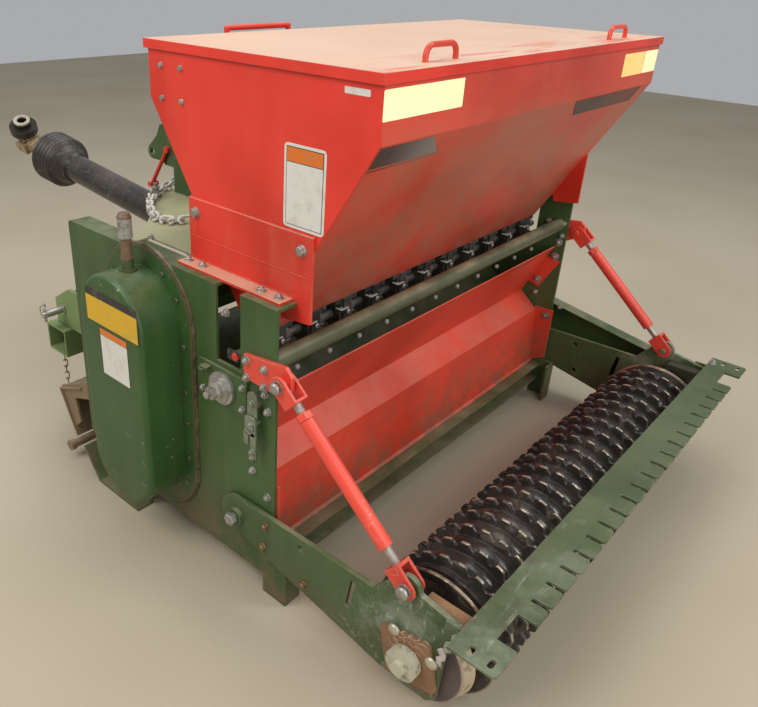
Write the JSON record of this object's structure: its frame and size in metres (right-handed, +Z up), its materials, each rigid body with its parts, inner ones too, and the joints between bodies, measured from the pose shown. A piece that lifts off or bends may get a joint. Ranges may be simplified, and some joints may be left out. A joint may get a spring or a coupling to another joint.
{
  "type": "seed drill",
  "caption": "Three-point turf overseeder with a slitting rotor, a red sheet-metal seed hopper on top and a notched press roller on turnbuckle-held arms at the rear.",
  "frame": {"origin": "on the floor, under the middle of the machine's bounding box", "axes": "+X to the machine's right, +Y forward towards the tractor, +Z up"},
  "size_m": [1.61, 2.4096, 1.316],
  "materials": {
    "green_paint": "dusty gloss",
    "red_paint": "dusty gloss",
    "zinc": "zinc plated, dulled",
    "steel": "worn bare steel",
    "black_plastic": "matt, dusty",
    "white_plastic": "dull",
    "ring_iron": "black, polished by use",
    "dirty_steel": "rusty, caked with dry soil",
    "bearing_wood": "oil-soaked wood"
  },
  "bodies": {
    "frame": {"side_plates": "green_paint", "skids": "green_paint", "front_beam": "green_paint", "rotor_hood": "green_paint", "rotor_cover": "green_paint", "hitch_bar": "green_paint", "hitch_mast": "green_paint", "hitch_pins": "zinc", "front_guard": "dirty_steel", "guard_chain": "dirty_steel", "cross_tube": "green_paint", "rear_shield": "red_paint", "shield_straps": "red_paint", "bottom_channel": "green_paint", "hopper_rear_wall": "red_paint", "hopper_front_wall": "red_paint", "hopper_ends": "red_paint", "hopper_brackets": "red_paint", "seed_cups": "black_plastic", "meter_shaft": "white_plastic", "chain_case": "green_paint", "case_breather": "zinc", "gearbox": "green_paint", "pto_guard": "black_plastic", "pto_yoke": "steel", "shaft_hanger": "red_paint", "hanger_chain": "white_plastic", "adjuster_plate": "green_paint", "adjuster_hub": "zinc", "release_lever": "zinc", "turnbuckle_mounts": "red_paint"},
    "hopper_lid": {"lid": "red_paint", "lid_handles": "red_paint"},
    "slit_rotor": {"rotor": "steel"},
    "roller_frame": {"roller_arms": "green_paint", "bearing_plates": "dirty_steel", "bearing_blocks": "bearing_wood", "scraper_bar": "green_paint", "drive_guard": "green_paint"},
    "roller": {"roller_rings": "ring_iron", "roller_shaft": "ring_iron"},
    "strut_left": {"turnbuckle_barrel_left": "red_paint"},
    "strut_right": {"turnbuckle_barrel_right": "red_paint"},
    "strut_rod_left": {"turnbuckle_rod_left": "red_paint"},
    "strut_rod_right": {"turnbuckle_rod_right": "red_paint"}
  },
  "joints": [
    {"name": "lid_hinge", "type": "hinge", "parent": "frame", "child": "hopper_lid", "pos_m": [0.02, -0.0908, 1.252], "axis": [1, 0, 0], "range_deg": [-95, 0]},
    {"name": "rotor_spin", "type": "hinge", "parent": "frame", "child": "slit_rotor", "pos_m": [0.02, -0.1308, 0.25], "axis": [1, 0, 0], "continuous": true},
    {"name": "roller_frame_hinge", "type": "hinge", "parent": "frame", "child": "roller_frame", "pos_m": [0.02, -0.4698, 0.209], "axis": [1, 0, 0], "range_deg": [-4.58, 2.86]},
    {"name": "roller_spin", "type": "hinge", "parent": "roller_frame", "child": "roller", "pos_m": [0.02, -0.9968, 0.1545], "axis": [1, 0, 0], "continuous": true},
    {"name": "strut_hinge_left", "type": "hinge", "parent": "frame", "child": "strut_left", "pos_m": [-0.698, -0.6148, 0.645], "axis": [1, 0, 0], "range_deg": [-3.2, 2.11]},
    {"name": "strut_slide_left", "type": "slide", "parent": "strut_left", "child": "strut_rod_left", "axis": [0, -0.7547, -0.6561], "range_m": [-0.03508, 0.0223]},
    {"name": "strut_hinge_right", "type": "hinge", "parent": "frame", "child": "strut_right", "pos_m": [0.738, -0.6148, 0.645], "axis": [1, 0, 0], "range_deg": [-3.2, 2.11]},
    {"name": "strut_slide_right", "type": "slide", "parent": "strut_right", "child": "strut_rod_right", "axis": [0, -0.7547, -0.6561], "range_m": [-0.03508, 0.0223]}
  ],
  "couplings": [
    {"joint": "strut_hinge_left", "follows": "roller_frame_hinge", "ratio": 0.6325},
    {"joint": "strut_slide_left", "follows": "roller_frame_hinge", "m_per_rad": 0.426},
    {"joint": "strut_hinge_right", "follows": "roller_frame_hinge", "ratio": 0.6325},
    {"joint": "strut_slide_right", "follows": "roller_frame_hinge", "m_per_rad": 0.426}
  ]
}
